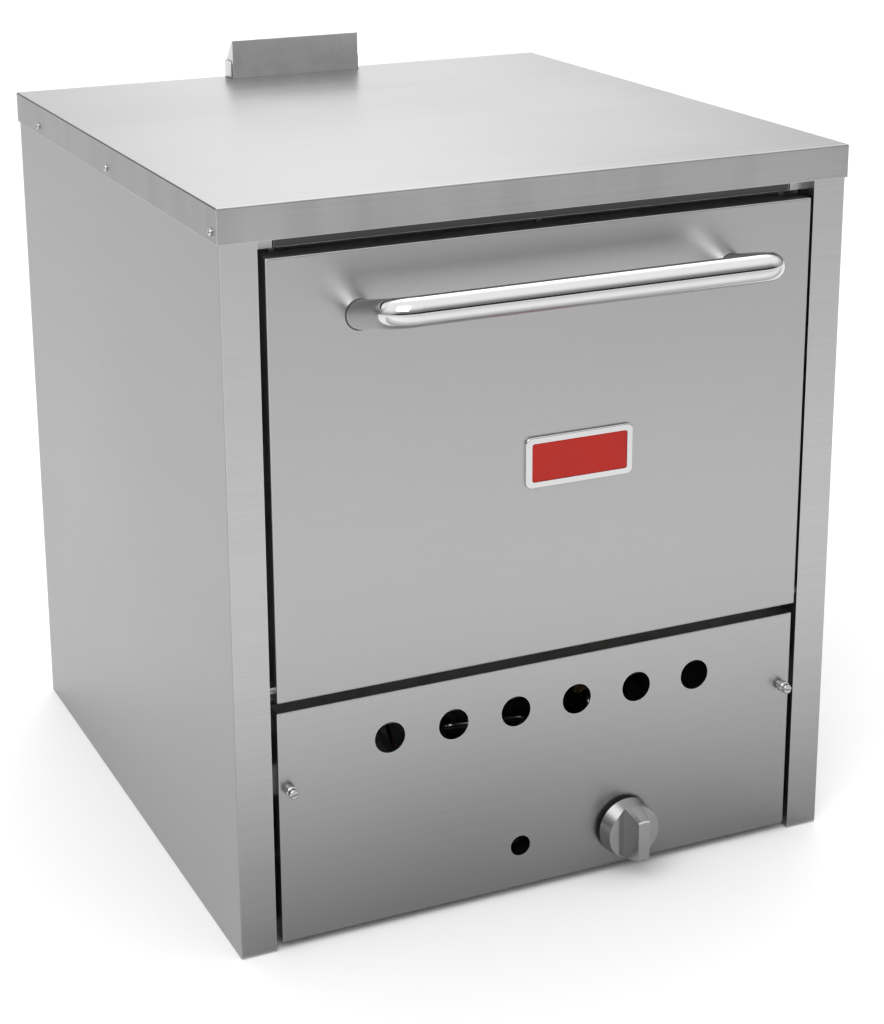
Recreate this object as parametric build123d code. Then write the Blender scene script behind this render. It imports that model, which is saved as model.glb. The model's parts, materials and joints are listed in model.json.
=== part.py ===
from build123d import *

import math
import os

# Countertop gas deck oven with a drop-down door. Millimetres, +Z up, front towards -Y.
# Inside this script y = 0 is the middle of the cabinet's depth. Every piece is moved by Y_SHIFT
# as it is written, so the origin lies on the floor under the middle of the whole outline.
Y_SHIFT = 30.0

# Cabinet
SHEET = 1.2
COVER_W, COVER_D, HEIGHT = 615.0, 636.8, 690.5
COVER_FLANGE = 31.0
SIDE_X = 306.0
FRONT_Y, BACK_Y = -317.0, 315.5
STILE_IN = 272.4
STILE_RETURN_Y = -292.0
FOOT_FLANGE = 30.0
BACK_FLANGE = 22.0
SIDE_TOP = HEIGHT - SHEET - 0.5
LEG_HOLE_X, LEG_HOLE_Y, LEG_HOLE_R = 290.0, 270.0, 5.25
BEND = 1.5

# Door and its hinge
DOOR_X, DOOR_Z0, DOOR_Z1 = 267.1, 244.2, 644.7
DOOR_Y, DOOR_T = -321.0, 22.0
DOOR_BACK = DOOR_Y + DOOR_T
HINGE_Y, HINGE_Z = -311.0, 254.0
PIN_R, RUNNING_GAP = 4.0, 0.05
ARM_X0, ARM_X1 = 262.7, 265.7
ARM_OUT, ARM_DROP = 30.0, 30.0
ARM_ELBOW = 24.0
ARM_HALF_W = 6.0
LIP = 11.6

# Door handle: a bent tube that rises as it leaves the door
HANDLE_X, HANDLE_Z = 183.5, 587.6
HANDLE_OUT, HANDLE_TILT = 78.2, 13.84
HANDLE_R, HANDLE_WALL, HANDLE_BEND = 13.0, 1.5, 19.0
HANDLE_IN = -10.0

# Badge on the door
BADGE_X, BADGE_Z = 28.3, 430.6
BADGE_W, BADGE_H, BADGE_T, BADGE_RIM = 109.0, 48.5, 3.0, 6.0

# Lower panel and its controls
PANEL_X, PANEL_Z0, PANEL_Z1, PANEL_Y = 266.7, 7.9, 233.5, -317.6
VENT_PITCH, VENT_Z, VENT_R, VENTS = 63.5, 189.0, 15.0, 6
BUTTON_X, BUTTON_Z, BUTTON_HOLE_R = -26.4, 50.0, 10.25
PANEL_SCREW_X, PANEL_SCREW_Z = 257.0, 159.5
KNOB_X, KNOB_Z = 84.6, 48.0
KNOB_BACK, KNOB_FACE, KNOB_FRONT = -322.6, -338.0, -357.0
KNOB_R, KNOB_FACE_R, KNOB_FRONT_R = 29.5, 26.5, 20.5
GRIP_HALF_W = 5.7
STEM_R = 5.0

# Baking chamber
FRAME_Y = -293.0
OPEN_X, OPEN_Z0, OPEN_Z1 = 228.0, 262.0, 618.0
SHELL = 1.5
SHELL_BACK, SHELL_TOP, SHELL_Z0 = 236.0, 620.0, 96.0
DECK_T, LOWER_DECK_Z, UPPER_DECK_Z = 15.0, 268.0, 440.0
DECK_X, DECK_Y0, DECK_Y1 = 224.0, -270.0, 215.0
RAIL_ANGLE, RAIL_T = 20.0, 2.0

# Flue
FLUE_X0, FLUE_X1 = -70.5, 77.5
FLUE_Y0, FLUE_Y1 = 297.0, 316.8
FLUE_TOP, FLUE_LOW = 731.5, 710.5
DUCT_Z0, DUCT_Z1 = 555.0, 605.0

# Gas train
SUPPLY_X, SUPPLY_Z = -200.0, 50.0
PIPE_R, PIPE_BORE = 10.65, 8.0
GAS_Y = -250.0
BURNER_Z, BURNER_X, BURNER_R = 150.0, 150.0, 15.0
BURNER_LEN, CROSS_Y = 170.0, -40.0
MOUTH_Y = -212.0
SHUTTER_R, SHUTTER_T = 24.0, 1.5

HANDLE_PLANE = Plane(
    origin=(0, DOOR_Y, HANDLE_Z),
    x_dir=(1, 0, 0),
    z_dir=(0, -math.sin(math.radians(HANDLE_TILT)), -math.cos(math.radians(HANDLE_TILT))),
)
HANDLE_REACH = HANDLE_OUT * math.cos(math.radians(HANDLE_TILT)) + HANDLE_R
SUPPLY_END_Y = HANDLE_REACH - DOOR_Y - 2 * Y_SHIFT

os.makedirs("parts", exist_ok=True)


def save(node, *shapes):
    """Write one node, a single solid or a group of separate ones."""
    moved = [Pos(0, Y_SHIFT, 0) * shape for shape in shapes]
    export_step(moved[0] if len(moved) == 1 else Compound(children=moved), f"parts/{node}.step")


def block(x0, x1, y0, y1, z0, z1):
    return Pos((x0 + x1) / 2, (y0 + y1) / 2, (z0 + z1) / 2) * Box(x1 - x0, y1 - y0, z1 - z0)


def rod(radius, start, end):
    """A round bar from one point to another."""
    along = Vector(*end) - Vector(*start)
    bar = Cylinder(radius, along.length, align=(Align.CENTER, Align.CENTER, Align.MIN))
    return Plane(origin=start, z_dir=along) * bar


def tube(outer, inner, start, end):
    return rod(outer, start, end) - rod(inner, start, end)


def bent_rod(radius, points, bend, plane=Plane.XY):
    """A round wire or pipe along straight runs joined by arcs."""
    path = plane * FilletPolyline(*points, radius=bend)
    return sweep(Plane(origin=path @ 0, z_dir=path % 0) * Circle(radius), path=path)


def mirrored(shape):
    return mirror(shape, about=Plane.YZ)


def pair(shape):
    """The same piece on the right and on the left."""
    return [shape, mirrored(shape)]


def pan_head(radius, height, across):
    """Screw head standing on z = 0, with a cross recess."""
    head = Cylinder(radius, height, align=(Align.CENTER, Align.CENTER, Align.MIN))
    head = fillet(head.edges().sort_by(Axis.Z)[-1], height * 0.6)
    slot = Box(across, radius * 0.28, height * 0.8)
    return head - Pos(0, 0, height) * slot - Pos(0, 0, height) * Rot(0, 0, 90) * slot


def screw(head_r, head_h, shank_r, shank_len, at, out):
    """Pan-head screw whose head seat is at a point, with the head facing out."""
    head = pan_head(head_r, head_h, head_r * 1.2)
    shank = Cylinder(shank_r, shank_len, align=(Align.CENTER, Align.CENTER, Align.MAX))
    return Plane(origin=at, z_dir=out) * (head + shank)


# ---------------------------------------------------------------- cabinet

COVER_SCREW_Y = (-303.6, -8.0, 232.9)
COVER_SCREW_Z = 668.1
BACK_SCREW_Z = (60.0, 335.0, 610.0)
BACK_SCREW_X = 293.0
SCREW_R = 2.0
SCREW_HOLE_R = 2.1
CORNER_SLIT = 0.5
COVER_HEM = 12.5


def top_cover():
    """Folded lid: four flanges, a hem under the front one, slits at the front corners."""
    half_w, half_d = COVER_W / 2, COVER_D / 2
    low = HEIGHT - COVER_FLANGE
    lid = block(-half_w, half_w, -half_d, half_d, low, HEIGHT)
    lid = fillet(lid.faces().sort_by(Axis.Z)[-1].edges(), BEND)
    in_w, in_d = half_w - SHEET, half_d - SHEET
    lid -= block(-in_w, in_w, -in_d, in_d, low - 1, HEIGHT - SHEET)
    lid += block(-STILE_IN + 1, STILE_IN - 1, -in_d, -in_d + COVER_HEM, low, low + SHEET)
    for side in (-1, 1):
        slit = block(in_w - 1, half_w + 1, -in_d, -in_d + CORNER_SLIT, low - 1, HEIGHT - SHEET)
        lid -= slit if side > 0 else mirrored(slit)
    lid -= block(FLUE_X0 - 2.5, FLUE_X1 + 2.5, FLUE_Y0 - 0.5, in_d, HEIGHT - 2 * SHEET, HEIGHT + 1)
    for y in COVER_SCREW_Y:
        lid -= rod(SCREW_HOLE_R, (-half_w - 1, y, COVER_SCREW_Z), (half_w + 1, y, COVER_SCREW_Z))
    return lid


def right_side_panel():
    """Side wall with the front stile, its return, a foot flange and a back flange."""
    wall_x = SIDE_X - SHEET
    side = block(wall_x, SIDE_X, FRONT_Y, BACK_Y, 0, SIDE_TOP)
    side += block(STILE_IN, SIDE_X, FRONT_Y, FRONT_Y + SHEET, 0, SIDE_TOP)
    side = fillet(
        side.edges().filter_by(Axis.Z).group_by(Axis.X)[-1].sort_by(Axis.Y)[0], BEND
    )
    side += block(STILE_IN, STILE_IN + SHEET, FRONT_Y, STILE_RETURN_Y, 0, SIDE_TOP)
    side += block(SIDE_X - FOOT_FLANGE, SIDE_X, FRONT_Y + SHEET, BACK_Y, 0, SHEET)
    side += block(SIDE_X - BACK_FLANGE, SIDE_X, BACK_Y - SHEET, BACK_Y, 0, SIDE_TOP)
    side += block(RAIL_END + 1.5, STILE_IN, RAIL_Y, RAIL_Y + SHEET, RAIL_Z0, SIDE_TOP)
    side -= rod(PIN_R + 0.5, (STILE_IN - 1, HINGE_Y, HINGE_Z), (STILE_IN + 2, HINGE_Y, HINGE_Z))
    for y in (-LEG_HOLE_Y, LEG_HOLE_Y):
        side -= rod(LEG_HOLE_R, (LEG_HOLE_X, y, -1), (LEG_HOLE_X, y, 2))
    for y in COVER_SCREW_Y:
        side -= rod(SCREW_HOLE_R, (wall_x - 1, y, COVER_SCREW_Z), (SIDE_X + 1, y, COVER_SCREW_Z))
    for z in BACK_SCREW_Z:
        side -= rod(SCREW_HOLE_R, (BACK_SCREW_X, BACK_Y - 2, z), (BACK_SCREW_X, BACK_Y + 1, z))
    return side


def back_panel():
    """Flat rear sheet with louvre slots and a hole for the gas pipe."""
    half_w, low, high = 300.0, 14.0, 658.0
    slots, slot_w, slot_h, slot_pitch = 5, 160.0, 6.0, 16.0
    panel = block(-half_w, half_w, BACK_Y, BACK_Y + SHEET, low, high)
    through = (BACK_Y - 1, BACK_Y + 2)
    panel -= rod(PIPE_R + 4, (SUPPLY_X, through[0], SUPPLY_Z), (SUPPLY_X, through[1], SUPPLY_Z))
    for i in range(slots):
        z = 90 + i * slot_pitch
        panel -= block(-slot_w / 2, slot_w / 2, *through, z, z + slot_h)
    for x in (-BACK_SCREW_X, BACK_SCREW_X):
        for z in BACK_SCREW_Z:
            panel -= rod(SCREW_HOLE_R, (x, through[0], z), (x, through[1], z))
    return panel


def base_pan():
    """Floor of the cabinet, on the side panels' foot flanges, with air slots."""
    half_w, front, back, lip = 303.0, -290.0, 312.0, 16.0
    slots, slot_w, slot_len = 8, 10.0, 160.0
    pan = block(-half_w, half_w, front, back, SHEET, 2 * SHEET)
    pan += block(-half_w, half_w, front, front + SHEET, SHEET, lip)
    pan += block(-half_w, half_w, back - SHEET, back, SHEET, lip)
    for i in range(slots):
        x = (i - (slots - 1) / 2) * 30
        pan -= block(x - slot_w / 2, x + slot_w / 2, -slot_len / 2, slot_len / 2, 0, 5)
    for x in (-LEG_HOLE_X, LEG_HOLE_X):
        for y in (-LEG_HOLE_Y, LEG_HOLE_Y):
            pan -= rod(LEG_HOLE_R, (x, y, 0), (x, y, 5))
    return pan


RAIL_Y, RAIL_Z0, RAIL_END = -304.0, 649.5, 253.0
FRAME_SCREW_X = (-251.5, 0.0, 251.5)
FRAME_SCREW_Z = 644.3


def upper_front_rail():
    """Z-shaped rail between the stiles, behind the gap over the door."""
    rail = block(-RAIL_END, RAIL_END, RAIL_Y, RAIL_Y + SHEET, RAIL_Z0, SIDE_TOP)
    rail += block(-RAIL_END, RAIL_END, RAIL_Y, FRAME_Y + 8, RAIL_Z0, RAIL_Z0 + SHEET)
    return rail


def lower_front_rail():
    """Angle behind the top of the lower panel."""
    half_w, top, depth = 250.0, PANEL_Z1 - 1.5, 19.0
    rail = block(-half_w, half_w, FRAME_Y - SHEET, FRAME_Y, 190, top)
    rail += block(-half_w, half_w, FRAME_Y - depth, FRAME_Y, top - SHEET, top)
    return rail


def cover_screws():
    x = COVER_W / 2
    heads = []
    for y in COVER_SCREW_Y:
        right = screw(3.5, 2.2, SCREW_R, 8, (x, y, COVER_SCREW_Z), (1, 0, 0))
        heads += pair(right)
    return heads


def back_panel_screws():
    y = BACK_Y + SHEET
    heads = []
    for z in BACK_SCREW_Z:
        heads += pair(screw(3.5, 2.2, SCREW_R, 8, (BACK_SCREW_X, y, z), (0, 1, 0)))
    return heads


def frame_screws():
    return [screw(3.2, 1.8, SCREW_R, 8, (x, FRAME_Y, FRAME_SCREW_Z), (0, -1, 0)) for x in FRAME_SCREW_X]


# ---------------------------------------------------------------- baking chamber


def chamber_front_frame():
    """Flat frame round the chamber's mouth, slotted for the door's spring arms."""
    half_w, low = STILE_IN - 1.4, 205.0
    frame = block(-half_w, half_w, FRAME_Y, FRAME_Y + SHEET, low, RAIL_Z0)
    frame -= block(-OPEN_X, OPEN_X, FRAME_Y - 1, FRAME_Y + 2, OPEN_Z0, OPEN_Z1)
    slot = block(258.5, 269, FRAME_Y - 1, FRAME_Y + 2, 240, 298)
    for x in FRAME_SCREW_X:
        frame -= rod(SCREW_HOLE_R, (x, FRAME_Y - 1, FRAME_SCREW_Z), (x, FRAME_Y + 2, FRAME_SCREW_Z))
    return frame - slot - mirrored(slot)


def chamber_shell():
    """Inner box, open at the front and below, with a flue slot in its back wall."""
    front, out_x = FRAME_Y + SHEET, OPEN_X + SHELL
    shell = block(-out_x, out_x, front, SHELL_BACK + SHELL, SHELL_Z0, SHELL_TOP + SHELL)
    shell -= block(-OPEN_X, OPEN_X, front - 1, SHELL_BACK, SHELL_Z0 - 1, SHELL_TOP)
    shell -= block(
        FLUE_X0 + 3, FLUE_X1 - 3, SHELL_BACK - 1, SHELL_BACK + 3, DUCT_Z0 + 2, DUCT_Z1 - 2
    )
    return shell - rod(2.6, (OPEN_X - 1, BULB_Y, BULB_Z), (out_x + 1, BULB_Y, BULB_Z))


def deck(z):
    plate = block(-DECK_X, DECK_X, DECK_Y0, DECK_Y1, z, z + DECK_T)
    return fillet(plate.edges().filter_by(Axis.Z), 6)


def deck_rails():
    """Angle rails on the chamber's side walls, two under each deck."""
    rails = []
    for top in (LOWER_DECK_Z, UPPER_DECK_Z):
        shelf = block(OPEN_X - RAIL_ANGLE, OPEN_X, DECK_Y0, DECK_Y1, top - RAIL_T, top)
        web = block(OPEN_X - RAIL_T, OPEN_X, DECK_Y0, DECK_Y1, top - RAIL_ANGLE, top)
        rails += pair(shelf + web)
    return rails


def flame_baffle():
    """Plate over the burner, held by two tabs on each side."""
    z, half_x, tab = 225.0, 195.0, 40.0
    plate = block(-half_x, half_x, -210, 190, z, z + RAIL_T)
    for y in (-150, 130):
        plate += block(-OPEN_X, OPEN_X, y - tab / 2, y + tab / 2, z, z + RAIL_T)
    return plate


def right_insulation():
    return block(OPEN_X + SHELL + 2, 303, -255, SHELL_BACK, 110, SHELL_TOP)


def back_insulation():
    slab = block(-303, 303, SHELL_BACK + 3.5, 294, 110, SHELL_TOP)
    return slab - block(FLUE_X0, FLUE_X1, SHELL_BACK, 300, DUCT_Z0 - 1, SHELL_TOP + 1)


def top_insulation():
    return block(-296, 296, -285, 290, SHELL_TOP + SHELL + 1, HEIGHT - SHEET - 4)


# ---------------------------------------------------------------- flue


def duct_profile(inset):
    """Outline of the duct in the YZ plane: back from the chamber, then up."""
    y0, y1, y2 = SHELL_BACK + SHELL + 0.2, FLUE_Y0 + SHEET + 0.3, FLUE_Y1 - SHEET - 0.3
    z0, z1, z2 = DUCT_Z0, DUCT_Z1, HEIGHT + 4
    grow = 2 if inset else 0
    points = (
        (y0 - grow, z0 + inset),
        (y2 - inset, z0 + inset),
        (y2 - inset, z2 + grow),
        (y1 + inset, z2 + grow),
        (y1 + inset, z1 - inset),
        (y0 - grow, z1 - inset),
    )
    return Polyline(*points, close=True)


def flue_duct():
    x0, x1 = FLUE_X0 + SHEET + 0.3, FLUE_X1 - SHEET - 0.3

    def body(inset):
        face = make_face(Plane.YZ * duct_profile(inset))
        return Pos(x0 + inset, 0, 0) * extrude(face, amount=x1 - x0 - 2 * inset, dir=(1, 0, 0))

    return body(0) - body(SHEET)


def flue_diverter():
    """Outlet box: tall front plate, side plates that slope down to the back plate."""
    low, back_top = HEIGHT - 30, FLUE_LOW - 1
    side = (
        (FLUE_Y0, low),
        (FLUE_Y1, low),
        (FLUE_Y1, FLUE_LOW),
        (FLUE_Y0 + SHEET, FLUE_TOP),
        (FLUE_Y0, FLUE_TOP),
    )
    face = make_face(Plane.YZ * Polyline(*side, close=True))
    box = Pos(FLUE_X0, 0, 0) * extrude(face, amount=FLUE_X1 - FLUE_X0, dir=(1, 0, 0))
    in_x0, in_x1 = FLUE_X0 + SHEET, FLUE_X1 - SHEET
    box -= block(in_x0, in_x1, FLUE_Y0 + SHEET, FLUE_Y1 - SHEET, low - 1, FLUE_TOP + 1)
    return box - block(in_x0, in_x1, FLUE_Y1 - 3, FLUE_Y1 + 1, back_top, FLUE_TOP)


def flue_collar():
    """Short sheet round the diverter's sides and back, standing on the cover."""
    gap, top = 0.5, HEIGHT + 18.5
    x0, x1 = FLUE_X0 - gap - SHEET, FLUE_X1 + gap + SHEET
    back = FLUE_Y1 + 0.2
    front = FLUE_Y0 + 2.5
    collar = block(x0, x1, front, back + SHEET, HEIGHT, top)
    collar = chamfer(collar.edges().filter_by(Axis.X).group_by(Axis.Z)[-1].sort_by(Axis.Y)[0], 3)
    return collar - block(x0 + SHEET, x1 - SHEET, front - 1, back, HEIGHT - 1, top + 1)


# ---------------------------------------------------------------- door


def door_panel():
    """Outer skin: a pan with lips top and bottom for the liner's screws."""
    skin = block(-DOOR_X, DOOR_X, DOOR_Y, DOOR_BACK, DOOR_Z0, DOOR_Z1)
    skin = fillet(skin.edges().filter_by(Axis.Y), BEND)
    skin = fillet(skin.faces().sort_by(Axis.Y)[0].edges(), BEND)
    in_x, in_z0, in_z1 = DOOR_X - SHEET, DOOR_Z0 + SHEET, DOOR_Z1 - SHEET
    skin -= block(-in_x, in_x, DOOR_Y + SHEET, DOOR_BACK - SHEET, in_z0, in_z1)
    skin -= block(-in_x, in_x, DOOR_BACK - 2, DOOR_BACK + 1, in_z0 + LIP, in_z1 - LIP)
    for side in (-1, 1):
        end = block(LINER_X - 3, in_x, DOOR_BACK - 2, DOOR_BACK + 1, in_z0, in_z1)
        skin -= end if side > 0 else mirrored(end)
        skin -= rod(
            PIN_R + 0.1, (side * (in_x - 1), HINGE_Y, HINGE_Z), (side * (DOOR_X + 1), HINGE_Y, HINGE_Z)
        )
        post = HANDLE_PLANE * Pos(side * HANDLE_X, 0, 0) * Rot(90, 0, 0)
        skin -= post * Cylinder(HANDLE_R + 1, 12)
    for x, z in LINER_SCREWS:
        skin -= rod(SCREW_HOLE_R, (x, DOOR_BACK - 2, z), (x, DOOR_BACK + 1, z))
    return skin


LINER_X, LINER_Z0, LINER_Z1 = 258.0, 249.0, 640.0
PLUG_X, PLUG_Z0, PLUG_Z1, PLUG_Y = 222.0, 272.0, 612.0, -279.0
LINER_SCREWS = [(x, z) for x in (-200, -67, 67, 200) for z in (252.5, 637.0)]


def door_liner():
    """Inner sheet with a raised plug that fills the chamber's mouth."""
    sheet = block(-LINER_X, LINER_X, DOOR_BACK, DOOR_BACK + SHEET, LINER_Z0, LINER_Z1)
    plug = block(-PLUG_X, PLUG_X, DOOR_BACK, PLUG_Y, PLUG_Z0, PLUG_Z1)
    plug = fillet(plug.faces().sort_by(Axis.Y)[-1].edges(), 4)
    in_x, in_z0, in_z1 = PLUG_X - SHEET, PLUG_Z0 + SHEET, PLUG_Z1 - SHEET
    liner = sheet + plug - block(-in_x, in_x, DOOR_BACK - 1, PLUG_Y - SHEET, in_z0, in_z1)
    for x, z in LINER_SCREWS:
        liner -= rod(SCREW_HOLE_R, (x, DOOR_BACK - 1, z), (x, DOOR_BACK + 2, z))
    return liner


def door_insulation():
    """Blanket between skin and liner, cut away round the handle blocks."""
    slab = block(-254, 254, DOOR_Y + SHEET + 0.5, DOOR_BACK - 1.7, 260, 630)
    slab += block(-PLUG_X + 3, PLUG_X - 3, DOOR_BACK - 2, PLUG_Y - 3, PLUG_Z0 + 3, PLUG_Z1 - 3)
    for side in (-1, 1):
        x, half = side * HANDLE_X, 24
        slab -= block(x - half, x + half, DOOR_Y, DOOR_BACK, HANDLE_Z - half, HANDLE_Z + half)
    return slab


def door_liner_screws():
    y = DOOR_BACK + SHEET
    return [screw(3.5, 1.8, SCREW_R, 6, (x, y, z), (0, 1, 0)) for x, z in LINER_SCREWS]


def door_handle():
    """Bent tube with a plugged, tapped end inside each side of the door."""
    corners = (
        (-HANDLE_X, HANDLE_IN),
        (-HANDLE_X, HANDLE_OUT),
        (HANDLE_X, HANDLE_OUT),
        (HANDLE_X, HANDLE_IN),
    )
    handle = bent_rod(HANDLE_R, corners, HANDLE_BEND, HANDLE_PLANE)
    handle -= bent_rod(HANDLE_R - HANDLE_WALL, corners, HANDLE_BEND, HANDLE_PLANE)
    for side in (-1, 1):
        end = HANDLE_PLANE * Pos(side * HANDLE_X, HANDLE_IN + 5, 0) * Rot(90, 0, 0)
        handle += end * (Cylinder(HANDLE_R - HANDLE_WALL / 2, 10) - Cylinder(4.1, 12))
    return handle


BLOCK_HALF, BLOCK_DEPTH = 20.0, 15.0
SOCKET_DEPTH, BOLT_SEAT = 30.0, 13.0
BOLT_R, BOLT_HEAD_R, BOLT_HEAD, BOLT_LENGTH = 4.0, 6.5, 4.4, 12.0


def handle_axis(x):
    """A handle end's own axis, with its Z running back into the door."""
    return HANDLE_PLANE * Pos(x, 0, 0) * Rot(90, 0, 0)


def handle_blocks():
    """Spacer blocks behind the skin that each handle end stands in."""
    blocks = []
    low, high = HANDLE_Z - BLOCK_HALF, HANDLE_Z + BLOCK_HALF
    for x in (-HANDLE_X, HANDLE_X):
        piece = block(x - BLOCK_HALF, x + BLOCK_HALF, DOOR_Y + SHEET, DOOR_Y + BLOCK_DEPTH, low, high)
        socket = Pos(0, 0, -5 - HANDLE_IN / 2) * Cylinder(HANDLE_R + 0.05, SOCKET_DEPTH)
        relief = Pos(0, 0, BOLT_SEAT + 15) * Cylinder(BOLT_HEAD_R + 1, 30)
        piece -= handle_axis(x) * (socket + Cylinder(BOLT_R + 0.3, 80) + relief)
        blocks.append(piece)
    return blocks


def handle_bolts():
    """Bolts from inside the door into the handle's ends."""
    outline = RegularPolygon(BOLT_HEAD_R, 6)
    head = Pos(0, 0, BOLT_SEAT + BOLT_HEAD / 2) * extrude(outline, amount=BOLT_HEAD / 2, both=True)
    shank = Pos(0, 0, BOLT_SEAT - BOLT_LENGTH / 2) * Cylinder(BOLT_R, BOLT_LENGTH)
    return [handle_axis(x) * (head + shank) for x in (-HANDLE_X, HANDLE_X)]


def badge_outline(width, height, corner, thickness, y):
    face = Plane(origin=(BADGE_X, y, BADGE_Z), x_dir=(1, 0, 0), z_dir=(0, -1, 0))
    return extrude(face * RectangleRounded(width, height, corner), amount=thickness)


def badge_frame():
    frame = badge_outline(BADGE_W, BADGE_H, 6, BADGE_T, DOOR_Y)
    frame = fillet(frame.faces().sort_by(Axis.Y)[0].edges(), 1.2)
    well = badge_outline(BADGE_W - 2 * BADGE_RIM, BADGE_H - 2 * BADGE_RIM, 2.5, 3, DOOR_Y - 1.2)
    return frame - well


def badge_plate():
    width, height = BADGE_W - 2 * BADGE_RIM - 0.4, BADGE_H - 2 * BADGE_RIM - 0.4
    return badge_outline(width, height, 2.3, 1.2, DOOR_Y - 1.2)


def link(width_half, thickness, start, end, x0):
    """A flat bar with round ends in a YZ plane, from one (y, z) point to another."""
    along = Vector(0, end[0] - start[0], end[1] - start[1])
    mid = ((start[0] + end[0]) / 2, (start[1] + end[1]) / 2)
    angle = math.degrees(math.atan2(along.Z, along.Y))
    bar = Pos(x0 + thickness / 2, *mid) * Rot(angle, 0, 0) * Box(thickness, along.length, 2 * width_half)
    for point in (start, end):
        bar += rod(width_half, (x0, *point), (x0 + thickness, *point))
    return bar


def hinge_arm():
    """Right arm: riveted inside the door's side, reaching back to the spring."""
    thickness = ARM_X1 - ARM_X0
    elbow = (HINGE_Y + ARM_ELBOW, HINGE_Z)
    tip = (HINGE_Y + ARM_OUT, HINGE_Z - ARM_DROP)
    arm = link(ARM_HALF_W, thickness, (HINGE_Y, HINGE_Z), elbow, ARM_X0)
    arm += link(ARM_HALF_W, thickness, elbow, tip, ARM_X0)
    arm += block(ARM_X0, ARM_X1, DOOR_Y + 2, DOOR_BACK - 3, HINGE_Z - 7, HINGE_Z + 46)
    arm -= rod(2.2, (ARM_X0 - 1, *tip), (ARM_X1 + 1, *tip))
    return arm - rod(PIN_R + 0.05, (ARM_X0 - 1, HINGE_Y, HINGE_Z), (ARM_X1 + 1, HINGE_Y, HINGE_Z))


def hinge_pin():
    pin = rod(PIN_R, (ARM_X0, HINGE_Y, HINGE_Z), (STILE_IN + 6, HINGE_Y, HINGE_Z))
    return pin + rod(PIN_R + 2, (ARM_X0 - 2.5, HINGE_Y, HINGE_Z), (ARM_X0, HINGE_Y, HINGE_Z))


def hinge_bracket():
    """Right bearing plate behind the stile's return, where the pin turns."""
    x0 = STILE_IN + SHEET
    plate = block(x0, x0 + 3, FRONT_Y + SHEET, -296, HINGE_Z - 14, HINGE_Z + 14)
    hole = rod(PIN_R + RUNNING_GAP, (x0 - 1, HINGE_Y, HINGE_Z), (x0 + 4, HINGE_Y, HINGE_Z))
    return plate - hole


SPRING_X = (ARM_X0 + ARM_X1) / 2
SPRING_Y = HINGE_Y + ARM_OUT
SPRING_TOP = HINGE_Z - ARM_DROP
SPRING_FOOT = 91.0
HOOK_R, WIRE_R, COIL_R = 4.0, 1.0, 5.2
TAIL_R, CROSS_R = 0.9 * WIRE_R, 0.75 * WIRE_R
COIL_PITCH, COIL_SHORT = 1.8 * WIRE_R, 12.0


def door_spring():
    """Right extension spring: a closely wound coil with a ring hook at each end."""
    top_hook, low_hook = SPRING_TOP - HOOK_R, SPRING_FOOT + HOOK_R
    coil_low, coil_high = low_hook + COIL_SHORT, top_hook - COIL_SHORT
    turns = round((coil_high - coil_low) / COIL_PITCH)
    pitch = (coil_high - coil_low) / turns
    rings = Sketch() + [Pos(COIL_R, coil_low + i * pitch) * Circle(WIRE_R) for i in range(turns + 1)]
    spring = revolve(Plane.XZ * rings, Axis.Z)
    for coil_end, hook in ((coil_low, low_hook), (coil_high, top_hook)):
        outward = math.copysign(1, hook - coil_end)
        tail = rod(TAIL_R, (0, 0, coil_end - outward * WIRE_R), (0, 0, hook - outward * HOOK_R))
        tail += Pos(0, 0, hook) * Rot(90, 0, 0) * Torus(HOOK_R, WIRE_R)
        tail += rod(CROSS_R, (0, 0, coil_end), (COIL_R, 0, coil_end))
        spring += tail
    return Pos(SPRING_X, SPRING_Y, 0) * spring


def spring_anchor():
    """Right anchor: a tab with a hook hole on a web from the side wall."""
    tab = block(ARM_X0, ARM_X1, SPRING_Y - 7, SPRING_Y + 7, 80, SPRING_FOOT + 6)
    tab -= rod(2.2, (ARM_X0 - 1, SPRING_Y, SPRING_FOOT), (ARM_X1 + 1, SPRING_Y, SPRING_FOOT))
    wall = SIDE_X - SHEET
    tab += block(ARM_X0, wall, SPRING_Y - 7, SPRING_Y + 7, 80, 82)
    return tab + block(wall - 2, wall, SPRING_Y - 7, SPRING_Y + 7, 80, 104)


# ---------------------------------------------------------------- lower panel and controls


def control_panel():
    """Lower front: a shallow pan with air holes, a button hole and the knob's stem hole."""
    panel = block(-PANEL_X, PANEL_X, PANEL_Y, PANEL_Y + 20, PANEL_Z0, PANEL_Z1)
    panel = fillet(panel.edges().filter_by(Axis.Y), BEND)
    panel = fillet(panel.faces().sort_by(Axis.Y)[0].edges(), 1.0)
    in_x = PANEL_X - SHEET
    panel -= block(-in_x, in_x, PANEL_Y + SHEET, PANEL_Y + 30, PANEL_Z0 + SHEET, PANEL_Z1 - SHEET)
    holes = [((i - (VENTS - 1) / 2) * VENT_PITCH, VENT_Z, VENT_R) for i in range(VENTS)]
    holes.append((BUTTON_X, BUTTON_Z, BUTTON_HOLE_R))
    holes.append((KNOB_X, KNOB_Z, STEM_R + 3))
    holes += [(side * PANEL_SCREW_X, PANEL_SCREW_Z, 2.8) for side in (-1, 1)]
    for x, z, radius in holes:
        panel -= rod(radius, (x, PANEL_Y - 1, z), (x, PANEL_Y + 3, z))
    return panel


COLLAR_STEP, COLLAR_FRONT, SCREW_FRONT = 3.4, 8.9, 14.0
BRACKET_Y = -294.0


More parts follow.
